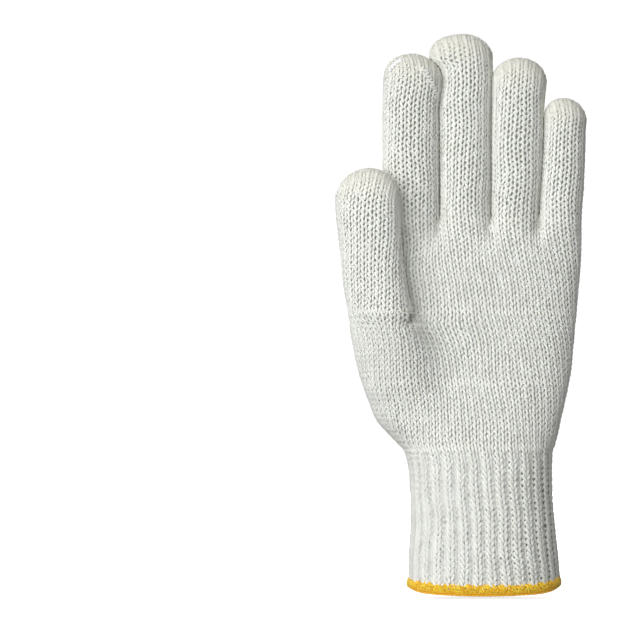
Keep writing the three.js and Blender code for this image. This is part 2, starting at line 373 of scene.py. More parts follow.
def digit_skin(digit, base, columns=384):
    """A digit from its base to the ridge of its tip, by course number, and how many courses it has.

    Each wale runs straight up the side and then over the tip on a quarter of an ellipse, at its own place
    across the finger, to meet the wale behind it at the ridge. Past the ridge the grid goes on down the
    other side.
    """
    rows, tip, wales = digit["rows"], digit["tip"], digit["wales"]
    shoulder = rows[-1, 0]
    side = tube_skin(rows, DIGIT_SQUARE, rows[0, 0], shoulder, 1, columns=columns)
    section = rows_at(rows, np.array([shoulder]))[0]
    _, across, deep = section_ring(section, DIGIT_SQUARE, CLOTH_INSET, columns)
    half_width = section[2] - CLOTH_INSET
    rise = (tip["rise"] - CLOTH_INSET) * np.sqrt(np.clip(1 - (across / half_width) ** 2, 0, 1))
    arch = TAU / 4 * np.sqrt((rise**2 + deep**2) / 2)

    # Courses lie closer together towards the tip: at the ridge by DENSER
    fine = np.linspace(0, 80, 1601)
    gaps = 1 - DENSER * (1 - smooth(fine, 1, 11))
    reach = np.concatenate([[0], np.cumsum((gaps[1:] + gaps[:-1]) / 2 * fine[1])])
    length = shoulder - base + arch.max()
    courses = round(np.interp(length / COURSE, reach, fine))
    course = length / np.interp(courses, fine, reach)
    # Each wale's way over the tip is shared out over the last courses. The grid starts below the base.
    spread, per_course, below = 13, 4, 2
    straight = spread * course - arch.max()
    steps = np.arange(-below * per_course, courses * per_course + 1)[:, None] / per_course
    from_ridge = np.interp(courses - steps, fine, reach)
    share = np.clip(from_ridge / spread, 0, 1)
    total = arch + straight
    path = total * share + (spread * course - total) * (share**3 - share) / 2
    path = path + np.maximum(from_ridge - spread, 0) * course

    on_tip = path < arch
    angle = TAU / 4 * (1 - np.clip(path / np.maximum(arch, 1e-6), 0, 1))
    lift = rise * np.sin(angle)
    turn = math.radians(section[4])
    c, s = math.cos(turn), math.sin(turn)
    toward = lift / tip["rise"]
    cx = section[0] + (tip["x"] - section[0]) * toward
    cy = section[1] + (tip["y"] - section[1]) * toward
    over = deep * np.cos(angle)
    tip_points = np.stack([cx + across * c - over * s, cy + across * s + over * c, shoulder + lift], -1)
    height = shoulder - np.maximum(path - arch, 0)
    side_points = side.at(np.broadcast_to(np.arange(columns) / columns, height.shape), height)
    grid = np.where(on_tip[..., None], tip_points, side_points)
    if "flare" in digit:
        # Only the thumb's side of the tip stands out, so that the wales in front stay upright
        flare = digit["flare"]
        side_share = smooth(-across / half_width, -0.1, 1)
        grid[..., 0] -= flare["by"] * side_share * smooth(grid[..., 2], flare["from"], flare["full"])
    beyond = grid[::-1][1 : 2 * per_course + 1][:, (-np.arange(columns)) % columns]
    return Skin(np.concatenate([grid, beyond]), -below, 1 / per_course, wales), courses


def joined(side_skins, join, wale, height):
    """Points along wales that run on into several tubes. Between two tubes they cross straight over."""
    parts = [(side_skins[name], *places) for name, *places in join]
    count = parts[-1][2] - parts[0][1] + 1
    number = np.where(wale > parts[-1][2] + 0.5, wale - count, wale)
    wale, height = np.broadcast_arrays(number, height)
    point = np.zeros(wale.shape + (3,))
    for skin, first, last, shift in parts:
        inside = (wale >= first) & (wale <= last)
        point[inside] = skin.at(wale[inside] + shift, height[inside])
    for (skin, _, last, shift), (after, first, _, after_shift) in zip(parts, parts[1:] + parts[:1]):
        start = last
        for turn in (0, count, -count):
            gap = (wale > start + turn) & (wale < start + 1 + turn)
            t = (wale[gap] - start - turn)[:, None]
            a = skin.at(np.full(gap.sum(), last + shift, float), height[gap])
            b = after.at(np.full(gap.sum(), first + after_shift, float), height[gap])
            point[gap] = a * (1 - t) + b * t
    return point


def press_palm(points):
    """The palm's middle is pressed in, as a round hill upside down."""
    middle_x, middle_z, reach, sink = 2, 106, 24, 1.9
    x, y, z = points[..., 0], points[..., 1], points[..., 2]
    near = np.exp(-(((x - middle_x) / reach) ** 2) - ((z - middle_z) / reach) ** 2)
    points[..., 1] = y + sink * near * np.clip(-y / 12, 0, 1)
    return points


def upper_hand_skin(side_skins):
    """The hand above the thumb: its own section low down, the fingers' sections at their roots."""
    step, low, high = 0.5, 112.0, 168.0
    hand = tube_skin(HAND, HAND_SQUARE, low, high, HAND_WALES)
    wale = np.arange(HAND_WALES * COLUMNS)[None, :] / COLUMNS
    heights = np.arange(low, high, step)[:, None]
    own = hand.at(wale, heights)
    fingers = joined(side_skins, FINGER_JOIN, wale, heights)
    wide, deep = smooth(heights, 140, 161), smooth(heights, 150, 164) ** 1.3
    grid = np.stack([
        own[..., 0] * (1 - wide) + fingers[..., 0] * wide,
        own[..., 1] * (1 - deep) + fingers[..., 1] * deep,
        own[..., 2],
    ], -1)
    for x, lowest in CREASES:
        near = np.exp(-(((grid[..., 0] - x) / 1.7) ** 2))
        near *= smooth(grid[..., 2], lowest - 1.5, lowest + 3.5)
        grid[..., 1] *= 1 - 0.5 * near
    return Skin(press_palm(grid), low, step, HAND_WALES)


def union_ring(height, half):
    """The edge round the hand and the thumb's root together, at one height.

    Half of its points are evenly spaced from the +X end across the front to the -X end, and half behind.

    It is found from a point inside both: along each ray, the two forms' measures of how far outside a
    point lies are blended by a smooth minimum, and the ray is halved until that measure is nil.
    """
    forms = [
        (rows_at(HAND, np.array([height]))[0], HAND_SQUARE),
        (rows_at(THUMB_ROOT, np.array([height]))[0], DIGIT_SQUARE),
    ]
    lowest, highest = THUMB_ROOT[0, 0], THUMB_ROOT[-1, 0]
    t = np.clip((height - lowest) / (highest - lowest), 0, 1)
    origin = np.array([-24 - 12 * t, -3 - 6 * t])
    angle = -np.linspace(0, TAU, RAYS + 1)
    ray = np.stack([np.cos(angle), np.sin(angle)], -1)
    blend = 8.0 + 8.0 * smooth(height, 86, 110)

    def outside(distance):
        point = origin + ray * distance[:, None]
        measure = []
        for (x, y, half_width, half_depth, turn), square in forms:
            c, s = math.cos(math.radians(turn)), math.sin(math.radians(turn))
            dx, dy = point[:, 0] - x, point[:, 1] - y
            a, b = half_width - CLOTH_INSET, half_depth - CLOTH_INSET
            across, deep = np.abs(dx * c + dy * s) / a, np.abs(-dx * s + dy * c) / b
            reach = (across**square + deep**square) ** (1 / square)
            measure.append((reach - 1) * np.hypot(dx, dy) / np.maximum(reach, 1e-6))
        mix = np.clip(0.5 + 0.5 * (measure[1] - measure[0]) / blend, 0, 1)
        return measure[1] * (1 - mix) + measure[0] * mix - blend * mix * (1 - mix)

    near, far = np.zeros(len(angle)), np.full(len(angle), 110.0)
    for _ in range(26):
        middle = (near + far) / 2
        out = outside(middle) > 0
        far, near = np.where(out, middle, far), np.where(out, near, middle)
    edge = origin + ray * near[:, None]
    start = np.argmax(edge[:-1, 0] - 0.02 * np.abs(edge[:-1, 1]))
    edge = np.concatenate([edge[start:-1], edge[: start + 1]])
    length = np.concatenate([[0], np.cumsum(np.hypot(*np.diff(edge, axis=0).T))])
    outer = length[np.argmin(edge[:, 0])]
    share = np.arange(half) / half
    wanted = np.concatenate([share * outer, outer + share * (length[-1] - outer)])
    return np.stack([np.interp(wanted, length, edge[:, 0]), np.interp(wanted, length, edge[:, 1])], -1)


class LowerSkin:
    """The hand below the thumb's crotch: one ring round hand and thumb root, split in two at the top.

    The grid's columns share out the way from the little finger's side to the outer edge, in front and
    behind. In front, they do so between the little finger's side, the palm's two guide wales and the outer
    edge. Fewer and fewer wales are left as the hand narrows to the wrist: they run out at the outer edge,
    where the loops of the course that is being laid are spread to close the ring.
    """

    def __init__(self, side_skins):
        self.course = 0
        step, low, high = 1.0, 58.0, 129.0
        half = LOWER_WALES // 2 * COLUMNS
        heights = np.arange(low, high, step)
        share = np.arange(half) / half
        own = np.zeros((len(heights), 2 * half, 3))
        for i, height in enumerate(heights):
            own[i, :, :2] = union_ring(height, half)
            own[i, :, 2] = height
        self.heights = heights
        table = rows_at(GUIDES, heights)
        self.count = table[:, 2:]
        guides = np.array([MIDDLE_WALE, CROTCH_WALE])
        places = np.array([np.interp(-x, -ring[:half, 0], share) for x, ring in zip(table[:, :2], own)])
        low_down = 1 - smooth(heights, CUFF_TOP, CUFF_TOP + 20)[:, None]
        wrist = np.array([np.interp(CUFF_TOP, heights, column) for column in places.T])
        places = places + (guides * 2 / CUFF_WALES - wrist) * low_down
        natural = np.array([0, MIDDLE_WALE, CROTCH_WALE, OUTER_WALE]) / OUTER_WALE
        for ring, place in zip(own, places):
            wanted = np.interp(share, natural, [0, *place, 1])
            for axis in (0, 1):
                ring[:half, axis] = np.interp(wanted, np.append(share, 1), ring[: half + 1, axis])
        wale = np.concatenate([share * OUTER_WALE, OUTER_WALE + share * (LOWER_WALES - OUTER_WALE)])
        apart = joined(side_skins, LOWER_JOIN, wale[None, :], heights[:, None])
        # The thumb parts from the hand between two heights. Behind the hand it starts lower down.
        one_ring, parted, sooner = 116.5, 123.5, 18
        behind = smooth(wale, 46, 58)
        split = smooth(heights[:, None], one_ring - sooner * behind, parted)[..., None]
        self.skin = Skin(press_palm(own * (1 - split) + apart * split), low, step, 1.0)

    def level(self, height):
        """How many wales there are at a height, in front and behind."""
        return [np.interp(height, self.heights, column) for column in self.count.T]

    def twist(self, height):
        """How many wales the knit has still to spiral up to the crotch."""
        return LOW_TWIST * (1 - np.clip((height - TWIST_START) / (THUMB_BASE - TWIST_START), 0, 1) ** 1.15)

    def loops(self, course):
        """First and last wale of one course."""
        height = CUFF_TOP + (course + 0.5) * COURSE_RISE
        front, back = self.level(height)
        turned = self.twist(height)
        return -round(back - turned - 0.5), round(front + turned + 0.5) - 1

    def at(self, wale, course):
        """The point at a wale and a course, as the loops of the course that is being laid see it."""
        height = CUFF_TOP + course * COURSE_RISE
        count = self.level(height)
        middle_height = CUFF_TOP + (self.course + 0.5) * COURSE_RISE
        mid_count = self.level(middle_height)
        first, last = np.array(self.loops(self.course)) - self.twist(middle_height)
        wale = wale - self.twist(height)
        place = 0
        for side, sign, edge in ((0, 1, last + 0.5), (1, -1, 0.5 - first)):
            out = np.maximum(sign * wale, 0)
            near = smooth(out, edge - 6, edge)
            out = out + (mid_count[side] - edge) * near
            full = count[side] * (1 - near) + mid_count[side] * near
            share = out / full
            if side == 0:
                # The thumb's own wales stand a little further out where it parts from the hand
                wales_out = 0.45
                beyond = smooth(out, CROTCH_WALE, CROTCH_WALE + 1.5) * smooth(full - out, 0, 6)
                shifted = out + wales_out * beyond * smooth(height, 116, 120) * (
                    1 - smooth(height, 122, 126)
                )
                crotch = CROTCH_WALE / OUTER_WALE
                past = crotch + (shifted - CROTCH_WALE) / (full - CROTCH_WALE) * (1 - crotch)
                share = np.where(out < CROTCH_WALE, out / OUTER_WALE, past)
            place = place + sign * 0.5 * share
        return self.skin.at(place, height)


def unit(vectors):
    """The same directions, each 1 long."""
    return vectors / np.maximum(np.linalg.norm(vectors, axis=-1, keepdims=True), 1e-9)


def surface(skin, wale, course, around=0.15):
    """A point of the skin and the direction straight out of it, from its slopes along and across."""
    point = skin.at(wale, course)
    along = skin.at(wale + around, course) - skin.at(wale - around, course)
    up = skin.at(wale, course + 0.15) - skin.at(wale, course - 0.15)
    return point, unit(np.cross(up, along))


class Yarn:
    """Collects tubes of yarn and makes them one mesh.

    A tube is a pentagon carried along a path. Its UV map holds the way along the yarn in millimetres
    and the way round it from 0 to 1.
    """

    def __init__(self):
        self.points, self.faces, self.uvs, self.tints, self.outward, self.loose = [], [], [], [], [], []
        self.count = 0
        self.nap_from = None

    def add(self, path, out, radius, closed=True, tint=0.0):
        """One tube: path is (n, 3), out is the direction that the pentagon's first corner leans to."""
        n, sides = len(path), 5
        ahead = np.roll(path, -1, 0)
        tangent = unit(ahead - np.roll(path, 1, 0) if closed else np.gradient(path, axis=0))
        side = unit(np.cross(tangent, out))
        lean = np.cross(side, tangent)
        angle = np.arange(sides) / sides * TAU
        radius = np.broadcast_to(radius, n)[:, None, None]
        ring = path[:, None] + radius * (
            np.cos(angle)[None, :, None] * lean[:, None] + np.sin(angle)[None, :, None] * side[:, None]
        )
        along = np.concatenate([[0], np.cumsum(np.linalg.norm(ahead - path, axis=1))])
        i, j = np.meshgrid(np.arange(n if closed else n - 1), np.arange(sides), indexing="ij")
        k, m = (i + 1) % n, (j + 1) % sides
        quads = np.stack([i * sides + j, i * sides + m, k * sides + m, k * sides + j], -1)
        u = np.stack([along[i], along[i], along[i + 1], along[i + 1]], -1)
        v = np.stack([j, j + 1, j + 1, j], -1) / sides
        self.points.append(ring.reshape(-1, 3))
        self.faces.append(quads.reshape(-1, 4) + self.count)
        self.uvs.append(np.stack([u, v], -1).reshape(-1, 2))
        self.tints.append(np.repeat(np.broadcast_to(tint, n), sides))
        self.outward.append(np.repeat(out, sides, axis=0))
        if not closed:
            # A quad and a triangle close each end
            for end in (np.arange(sides)[::-1], (n - 1) * sides + np.arange(sides)):
                self.faces.append(self.count + end[None, :4])
                self.uvs.append(np.zeros((4, 2)))
                self.loose.append(self.count + end[[0, 3, 4]])
        self.count += n * sides

    def add_nap(self, grid, out, tint):
        """The sheet of fibre behind the loops, greyer as painted shade: quads, closed round each row.

        What is added after it takes its material too.
        """
        if self.nap_from is None:
            self.nap_from = sum(len(quads) for quads in self.faces)
        rows, columns = grid.shape[:2]
        i, j = np.meshgrid(np.arange(rows - 1), np.arange(columns), indexing="ij")
        m = (j + 1) % columns
        low, high = i * columns, (i + 1) * columns
        quads = np.stack([low + j, high + j, high + m, low + m], -1)
        self.points.append(grid.reshape(-1, 3))
        self.faces.append(quads.reshape(-1, 4) + self.count)
        self.uvs.append(np.zeros((quads.size, 2)))
        self.tints.append(tint.ravel())
        self.outward.append(out.reshape(-1, 3))
        self.count += rows * columns

    def mesh(self, name):
        """The mesh, in metres. Every quad from the first of the nap on has the second material."""
        points = np.concatenate(self.points) * MM
        quads = np.concatenate(self.faces)
        loose = np.array(self.loose, int).reshape(-1, 3)
        mesh = bpy.data.meshes.new(name)
        mesh.vertices.add(len(points))
        mesh.vertices.foreach_set("co", points.astype(np.float32).ravel())
        corners = np.concatenate([quads.ravel(), loose.ravel()])
        starts = np.append(np.arange(len(quads)) * 4, len(quads) * 4 + np.arange(len(loose)) * 3)
        mesh.loops.add(len(corners))
        mesh.loops.foreach_set("vertex_index", corners.astype(np.int32))
        mesh.polygons.add(len(starts))
        mesh.polygons.foreach_set("loop_start", starts.astype(np.int32))
        mesh.polygons.foreach_set("use_smooth", np.ones(len(starts), bool))
        if self.nap_from is not None:
            number = np.arange(len(starts))
            second = (number >= self.nap_from) & (number < len(quads))
            mesh.polygons.foreach_set("material_index", second.astype(np.int32))
        uv = np.concatenate([np.concatenate(self.uvs), np.zeros((loose.size, 2))])
        mesh.update(calc_edges=True)
        layer = mesh.uv_layers.new(name="yarn")
        layer.data.foreach_set("uv", uv.astype(np.float32).ravel())
        tint = mesh.attributes.new("tint", "FLOAT", "POINT")
        tint.data.foreach_set("value", np.concatenate(self.tints).astype(np.float32))
        outward = mesh.attributes.new("outward", "FLOAT_VECTOR", "POINT")
        outward.data.foreach_set("vector", np.concatenate(self.outward).astype(np.float32).ravel())
        mesh.validate()
        return mesh


def rib_fade(height):
    """How much of the ribs is left: all of them in the cuff, none from a little way into the hand."""
    return 1 - smooth(height, CUFF_TOP - 13, CUFF_TOP + 7)


class Drift:
    """Slow drift of the loops in the cloth, in millimetres along the wales and across them.

    It is a sum of sine waves through space, so it runs on from one piece to the next.
    """

    def __init__(self, waves=9, shortest=16.0, longest=60.0, size=0.17):
        direction = unit(random.normal(0, 1, (waves, 3)))
        self.waves = direction * (TAU / random.uniform(shortest, longest, (waves, 1)))
        self.phase = random.uniform(0, TAU, (waves, 2))
        self.size = size

    def at(self, points):
        angle = points @ self.waves.T
        return self.size * np.sin(angle[..., None] + self.phase).sum(-2)


drift = Drift()


def slack(path, out):
    """How full the yarn is: drawn thin over the digits' flat sides, and closed up in the thumb's web."""
    web = np.exp(-(((path[:, 0] - WEB[0]) / 7) ** 2) - ((path[:, 2] - WEB[1]) / 8) ** 2) * (path[:, 1] < 0)
    digits = (0.08 - 0.13 * out[:, 1] ** 4) * smooth(path[:, 2], FINGER_BASE - 20, FINGER_BASE)
    return 1 + digits + 0.16 * web


def lay_course(yarn, skin, course, first, last, ribbed=False, tip=None):
    """One course of plain knitting as a tube of yarn.

    Over one loop of the path, t goes from 0 to a full turn. The wale number runs evenly with t and swings
    with sin 2t, which makes the narrow foot and wide head. The course number goes with -cos t, up from
    the foot to the head and down again, and the depth with -cos 2t, so that the legs stand in front. The
    yarn's live twist leans each head over by LEAN and lifts the first leg, with cos t and sin t. Each loop
    differs a little at random in its swing, place, height and depth. Near a digit's tip the loops lie
    flatter and fuller.
    """
    loops = round(last - first) + 1
    index = np.arange(loops * LOOP_STEPS)
    stitch = index // LOOP_STEPS
    t = index / LOOP_STEPS * TAU
    number = first - 0.5 + index / LOOP_STEPS
    loose = random.normal(0, 1, (loops, 4))[stitch]
    inside_loop = 0.5 - 0.5 * np.cos(t)
    up = course + 0.5 - LOOP_RISE * np.cos(t) + 0.08 * loose[:, 2] * inside_loop
    swing = LOOP_SWING * (1 + 0.15 * loose[:, 0])
    fade = 0.0
    if ribbed:
        fade = rib_fade(skin.at(number, up)[:, 2])
        swing += 0.12 * fade * np.cos(TAU * (first + stitch) / 2)
    wale = number + swing * np.sin(2 * t) - LEAN * np.cos(t) + 0.05 * loose[:, 1] * inside_loop
    depth = -LOOP_DEPTH * np.cos(2 * t) - 0.12 * np.sin(t) + 0.05 * loose[:, 3] * inside_loop
    if ribbed:
        wale = wale + 0.06 * np.sin(TAU * number / 2) * fade
    slip = drift.at(skin.at(wale, up))
    wale, up = wale + slip[:, 0] / WALE_PITCH, up + slip[:, 1] / COURSE
    point, out = surface(skin, wale, up)
    if ribbed:
        depth = rib_depth(number, point, depth)
    near_tip = tip(point[:, 2]) if tip else np.zeros(len(point))
    path = point + out * (depth * (1 - 0.6 * near_tip))[:, None]
    full = 1 + 0.04 * np.sin(t * 0.37 + 5 * course) + 0.12 * near_tip + 0.26 * fade
    yarn.add(path, out, YARN_RADIUS * full * slack(path, out), tint=near_tip)


def lay_stitches(yarn, skin, start, end, turns, reach, radius, lift):
    """A sewn thread from one place of the skin to another, swinging across its line as a sine wave."""
    u = np.linspace(0, 1, turns * 10 + 1)
    line = np.subtract(end, start)
    along = line * (WALE_PITCH, COURSE)
    aside = np.array([-along[1] / WALE_PITCH, along[0] / COURSE]) / np.linalg.norm(along)
    wale, course = (start + line * u[:, None] + aside * (reach * np.sin(TAU * turns * u))[:, None]).T
    point, out = surface(skin, wale, course)
    yarn.add(point + out * (lift + 0.15 * np.cos(2 * TAU * turns * u))[:, None], out, radius, False)


def join_crotch(yarn, thumb, hand):
    """The joining yarn that closes the slot between the thumb's inner edge and the hand's.

    It goes along both edges by u, from the crotch in front to the one behind, and to and fro between them
    as a sine wave, a little past each edge. It sags between the edges by a parabola.
    """
    turns, steps, reach, lift, sag, radius = 13, 12, 0.56, 0.3, 2.4, 0.62
    u = np.linspace(0, 1, turns * steps + 1)
    height = np.full(len(u), SPLIT_HEIGHT)
    share = (0.5 + reach * np.sin(TAU * turns * u))[:, None]
    start, end = THUMB_EDGE
    from_thumb = thumb.at(start + (end - start) * u, height)
    start, end = HAND_EDGE
    path = from_thumb * (1 - share) + hand.at(start + (end - start) * u, height) * share
    path[:, 2] += lift - sag * np.clip(share * (1 - share), 0, 1)[:, 0]
    yarn.add(path, np.tile([0.0, 0.0, 1.0], (len(u), 1)), radius, False)


def lay_nap(yarn, skin, low, high, wales, ribbed=False, tip=None):
    """The sheet of matted fibre behind the loops, greyer as painted shade, from one course to another and
    right round the tube.
    """
    course = np.arange(low, high + 1.0)[:, None]
    wale = np.linspace(0, wales, NAP_COLUMNS, endpoint=False)[None, :]
    course, wale = np.broadcast_arrays(course, wale)
    point, out = surface(skin, wale, course, wales / 400)
    depth = NAP_DEPTH
    if ribbed:
        depth = depth + rib_fade(point[..., 2:]) * (0.9 * rib_strength(point[..., :1]) - 0.15)
    painted_inside_shade = np.zeros(course.shape + (1,))
    if tip:
        # Over the middle of a digit it lies deeper and takes a darker painted shade for the dark inside; at
        # its sides it lies closer
        facing = np.abs(out[..., 1:2])
        near_tip = tip(point[..., 2:])
        painted_inside_shade = smooth(facing, 0.82, 0.98) * smooth(course, 0, 4)[..., None] * (1 - near_tip)
        depth = depth * (1 - 0.3 * near_tip) * (0.7 + 0.3 * smooth(facing, 0.5, 0.9))
    yarn.add_nap(point - depth * out, out, painted_inside_shade)


def tip_share(top):
    """How near the tip a height is: 0 down the finger, rising to 1 a little below its top."""
    start, full = 16, 3
    return lambda height: smooth(height, top - start, top - full)


def linear(colour):
    """sRGB hex to linear red, green, blue and alpha."""
    channels = [int(colour[i : i + 2], 16) / 255 for i in (1, 3, 5)]
    return [c / 12.92 if c <= 0.04045 else ((c + 0.055) / 1.055) ** 2.4 for c in channels] + [1.0]


def add_node(tree, kind, inputs, **settings):
    """Adds a node, sets its properties and its sockets. An input that is a socket is linked."""
    node = tree.nodes.new("ShaderNode" + kind)
    for name, value in settings.items():
        setattr(node, name, value)
    for name, value in inputs.items():
        socket = node.inputs[name]
        if isinstance(value, bpy.types.NodeSocket):
            tree.links.new(value, socket)
        else:
            socket.default_value = value
    return node


def start_material(name):
    """A new material with an empty node tree, and its texture coordinates."""
    material = bpy.data.materials.new(name)
    material.use_nodes = True
    material.node_tree.nodes.clear()
    return material, material.node_tree, add_node(material.node_tree, "TexCoord", {})


def new_object(name, data):
    """Puts a mesh, a light or a camera into the scene as an object."""
    thing = bpy.data.objects.new(name, data)
    bpy.context.scene.collection.objects.link(thing)
    return thing


def yarn_material(name, light, dark, warm, roughness, plies, twist_mm, sheen, halo, mottle_mm):
    """Staple yarn, spun and plied: matt, with fine slanting plies and a soft halo of fibre ends.

    The plies wind round the yarn once in twist_mm, and the shade changes in patches of about mottle_mm.
    The halo spreads the light round each thread, so the shading leans by this much from the thread's own
    roundness to the lie of the cloth.
    """
    material, tree, place = start_material(name)
    split = add_node(tree, "SeparateXYZ", {"Vector": place.outputs["UV"]})
    along, around = [
        add_node(tree, "Math", {0: split.outputs[axis], 1: TAU * turns}, operation="MULTIPLY")
        for axis, turns in (("X", 1 / twist_mm), ("Y", plies))
    ]
    angle = add_node(tree, "Math", {0: along.outputs[0], 1: around.outputs[0]}, operation="ADD")
    ply = add_node(tree, "Math", {0: angle.outputs[0]}, operation="SINE")
    spot = place.outputs["Object"]
    fibre, patch = [
        add_node(tree, "TexNoise", {"Vector": spot, "Scale": scale, "Detail": detail, "Roughness": rough})
        for scale, detail, rough in ((2600.0, 4.0, 0.62), (1000 / mottle_mm, 3.0, 0.55))
    ]
    shade = add_node(tree, "MapRange", {"Value": patch.outputs["Fac"], "From Min": 0.32, "From Max": 0.68})
    ends = {"A": linear(dark), "B": linear(light)}
    colour = add_node(tree, "Mix", {"Factor": shade.outputs[0], **ends}, data_type="RGBA")
    # Mixes in the tinted colour: cream at the cotton's tips; on the edging, random darker wraps and painted
    # shade under the edge
    tint = add_node(tree, "Attribute", {}, attribute_name="tint")
    ends = {"A": colour.outputs["Result"], "B": linear(warm)}
    tinted = add_node(tree, "Mix", {"Factor": tint.outputs["Fac"], **ends}, data_type="RGBA")
    relief = {0: ply.outputs[0], 1: 0.5, 2: fibre.outputs["Fac"]}
    height = add_node(tree, "Math", relief, operation="MULTIPLY_ADD")
    bump = add_node(tree, "Bump", {"Strength": 0.45, "Distance": 0.0001, "Height": height.outputs[0]})
    outward = add_node(tree, "Attribute", {}, attribute_name="outward")
    cloth = add_node(
        tree, "VectorTransform", {"Vector": outward.outputs["Vector"]},
        vector_type="NORMAL", convert_from="OBJECT", convert_to="WORLD",
    )
    ends = {"A": bump.outputs[0], "B": cloth.outputs[0]}
    softened = add_node(tree, "Mix", {"Factor": halo, **ends}, data_type="VECTOR")
    lie = add_node(tree, "VectorMath", {0: softened.outputs["Result"]}, operation="NORMALIZE")
    shader = add_node(tree, "BsdfPrincipled", {
        "Base Color": tinted.outputs["Result"], "Normal": lie.outputs[0], "Specular IOR Level": 0.2,
        "Roughness": roughness, "Diffuse Roughness": 0.4, "Sheen Weight": sheen, "Sheen Roughness": 0.6,
        "Subsurface Weight": 0.6, "Subsurface Radius": (1.0, 1.0, 0.92), "Subsurface Scale": 0.001,
    })
    add_node(tree, "OutputMaterial", {"Surface": shader.outputs["BSDF"]})
    return material


def nap_shade_material(name):
    """Cotton fibre behind the loops: matt and uneven, greyer than the yarn and darker over a digit's
    middle, both painted shade.
    """
    material, tree, place = start_material(name)
    fibre = add_node(
        tree, "TexNoise",
        {"Vector": place.outputs["Object"], "Scale": 1400.0, "Detail": 4.0, "Roughness": 0.7},
    )
    # Painted shade: the sheet is greyer than the yarn and stands for the shade in the holes between the
    # loops
    ends = {"A": linear("#BABDB3"), "B": linear("#DADCD2")}
    colour = add_node(tree, "Mix", {"Factor": fibre.outputs["Fac"], **ends}, data_type="RGBA")
    painted_inside_shade = add_node(tree, "Attribute", {}, attribute_name="tint")
    # Painted shade: darker still over the middle of a digit, where the glove's dark inside shows through
    ends = {"A": colour.outputs["Result"], "B": linear("#A8ABA1")}
    colour = add_node(tree, "Mix", {"Factor": painted_inside_shade.outputs["Fac"], **ends}, data_type="RGBA")
    bump = add_node(tree, "Bump", {"Strength": 0.6, "Distance": 0.0002, "Height": fibre.outputs["Fac"]})
    shader = add_node(tree, "BsdfPrincipled", {
        "Base Color": colour.outputs["Result"], "Roughness": 1.0, "Diffuse Roughness": 1.0,
        "Normal": bump.outputs[0], "Specular IOR Level": 0.0,
    })
    add_node(tree, "OutputMaterial", {"Surface": shader.outputs["BSDF"]})
    return material


# light, dark and tinted colour, roughness, plies, twist, sheen, halo, mottle
cotton = yarn_material(
    "bleached_cotton_string_yarn", "#EEF0E8", "#E1E3DA", "#F3F2E2", 0.95, 3, 2.2, 0.02, 0.7, 6.0
)
# The edging's tinted colour is painted shade under the edge and on the chain, and the tone of some darker
# wraps
edging = yarn_material(
    "yellow_polyester_overlock_yarn", "#FFDC42", "#FFBA1A", "#DC9012", 0.8, 2, 1.6, 0.1, 0.35, 1.4
)
thread = yarn_material(
    "white_polyester_thread", "#FFFFFF", "#F8F8F6", "#FFFFFF", 0.4, 2, 0.8, 0.0, 0.3, 6.0
)
nap_shade = nap_shade_material("cotton_fibre_painted_shade")


def make_piece(name, yarn, material, nodes):
    """One piece of the glove: its mesh, its material and the CAD nodes that it stands for."""
    mesh = yarn.mesh(name)
    mesh.materials.append(material)
    if yarn.nap_from is not None:
        mesh.materials.append(nap_shade)
    piece = new_object(name, mesh)
    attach(piece, "root")
    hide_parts(*nodes)


class ByCourse:
    """A skin whose rows are heights, read by course number. Its wales may spiral."""

    def __init__(self, skin, base, rise, twist=None):
        self.skin, self.base, self.rise, self.twist = skin, base, rise, twist

    def at(self, wale, course):
        height = self.base + course * self.rise
        return self.skin.at(wale - self.twist(height) if self.twist else wale, height)


def high_twist(height):
    """How many wales the knit has still to spiral up to the fingers."""
    share = np.clip((height - SPLIT_HEIGHT) / (FINGER_BASE - 3 - SPLIT_HEIGHT), 0, 1)
    return HIGH_TWIST * (1 - share) ** 1.3


def thumb_twist(course):
    """How many wales the thumb's knit has spiralled, over its first 18 courses."""
    return 0.5 + THUMB_TWIST * (1 - (1 - np.clip(course / 18, 0, 1)) ** 2)


side_skins = {
    name: tube_skin(digit["rows"], DIGIT_SQUARE, digit["rows"][0, 0], digit["rows"][-1, 0], digit["wales"])
    for name, digit in DIGITS.items()
}
side_skins["hand"] = tube_skin(HAND, HAND_SQUARE, 58.0, 166.0, HAND_WALES)


def rib_strength(x):
    """The ribs are drawn in more on the little finger's side."""
    return 0.15 + 0.85 * smooth(x, -20, 18)


def rib_depth(number, point, depth):
    """Every second wale stands out and the next one sinks, more on the little finger's side.

    The ribs fade out over the first courses of the hand.
    """
    crest = np.cos(TAU * number / 2)
    fade = rib_fade(point[:, 2])
    strength = rib_strength(point[:, 0])
    furrow = smooth(-crest, -0.2, 0.7) * fade
    return depth * (1 - 1.2 * furrow) + strength * fade * (0.3 * crest - 0.8 * furrow)


lower = LowerSkin(side_skins)
lower_sheet = ByCourse(lower.skin, CUFF_TOP, COURSE_RISE)
upper = ByCourse(upper_hand_skin(side_skins), CUFF_TOP, COURSE_RISE, high_twist)
HAND_PARTS = [
    ("wrist_flare_knit", 0, SPLIT_COURSE // 2),
    ("thumb_root_knit", SPLIT_COURSE // 2, SPLIT_COURSE),
    ("upper_hand_knit", SPLIT_COURSE, HAND_COURSES),
]
for name, low, high in HAND_PARTS:
    yarn = Yarn()
    for course in range(low, high):
        if high <= SPLIT_COURSE:
            lower.course = course
            lay_course(yarn, lower, course, *lower.loops(course), True)
        else:
            lay_course(yarn, upper, course, 0, HAND_WALES - 1)
    if high <= SPLIT_COURSE:
        lay_nap(yarn, lower_sheet, low, high, 1.0, True)
        if high == SPLIT_COURSE:
            join_crotch(yarn, side_skins["thumb"], side_skins["hand"])
    else:
        lay_nap(yarn, upper, low, high, HAND_WALES)
    make_piece(name, yarn, cotton, ["palm"])

